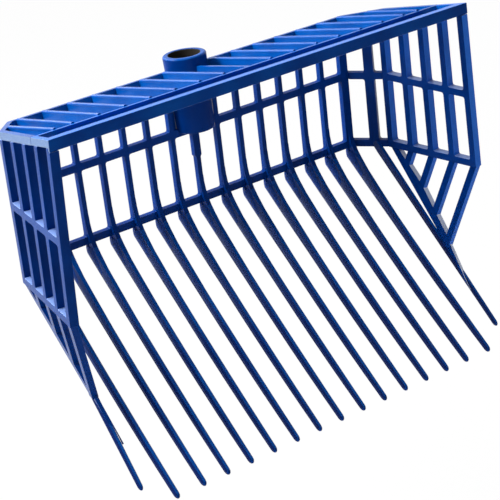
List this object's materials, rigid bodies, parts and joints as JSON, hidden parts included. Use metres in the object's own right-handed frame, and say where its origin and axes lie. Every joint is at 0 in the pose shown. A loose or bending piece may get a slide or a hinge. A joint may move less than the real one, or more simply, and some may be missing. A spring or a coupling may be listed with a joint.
{
  "type": "shavings fork head",
  "caption": "Wide basket fork head with handle socket, slatted deck, grille walls and tapering tines for sifting bedding.",
  "frame": {"origin": "middle of the handle socket's mouth, at the level of its rim", "axes": "+Z along the socket towards the handle, -Y to the tine tips, X across the fork"},
  "size_m": [0.4154, 0.1766, 0.299],
  "materials": {
    "blue_plastic": "gloss"
  },
  "bodies": {
    "root": {"back_wall_grille": "blue_plastic", "corner_grille_left": "blue_plastic", "corner_grille_right": "blue_plastic", "deck_grille_left": "blue_plastic", "deck_grille_right": "blue_plastic", "deck_middle_slat": "blue_plastic", "front_rail": "blue_plastic", "handle_socket": "blue_plastic", "lower_side_panel_left": "blue_plastic", "lower_side_panel_right": "blue_plastic", "side_grille_left": "blue_plastic", "side_grille_right": "blue_plastic", "tine_01": "blue_plastic", "tine_02": "blue_plastic", "tine_03": "blue_plastic", "tine_04": "blue_plastic", "tine_05": "blue_plastic", "tine_06": "blue_plastic", "tine_07": "blue_plastic", "tine_08": "blue_plastic", "tine_09": "blue_plastic", "tine_10": "blue_plastic", "tine_11": "blue_plastic", "tine_12": "blue_plastic", "tine_13": "blue_plastic", "tine_14": "blue_plastic", "tine_15": "blue_plastic", "tine_16": "blue_plastic", "tine_17": "blue_plastic"}
  },
  "joints": []
}
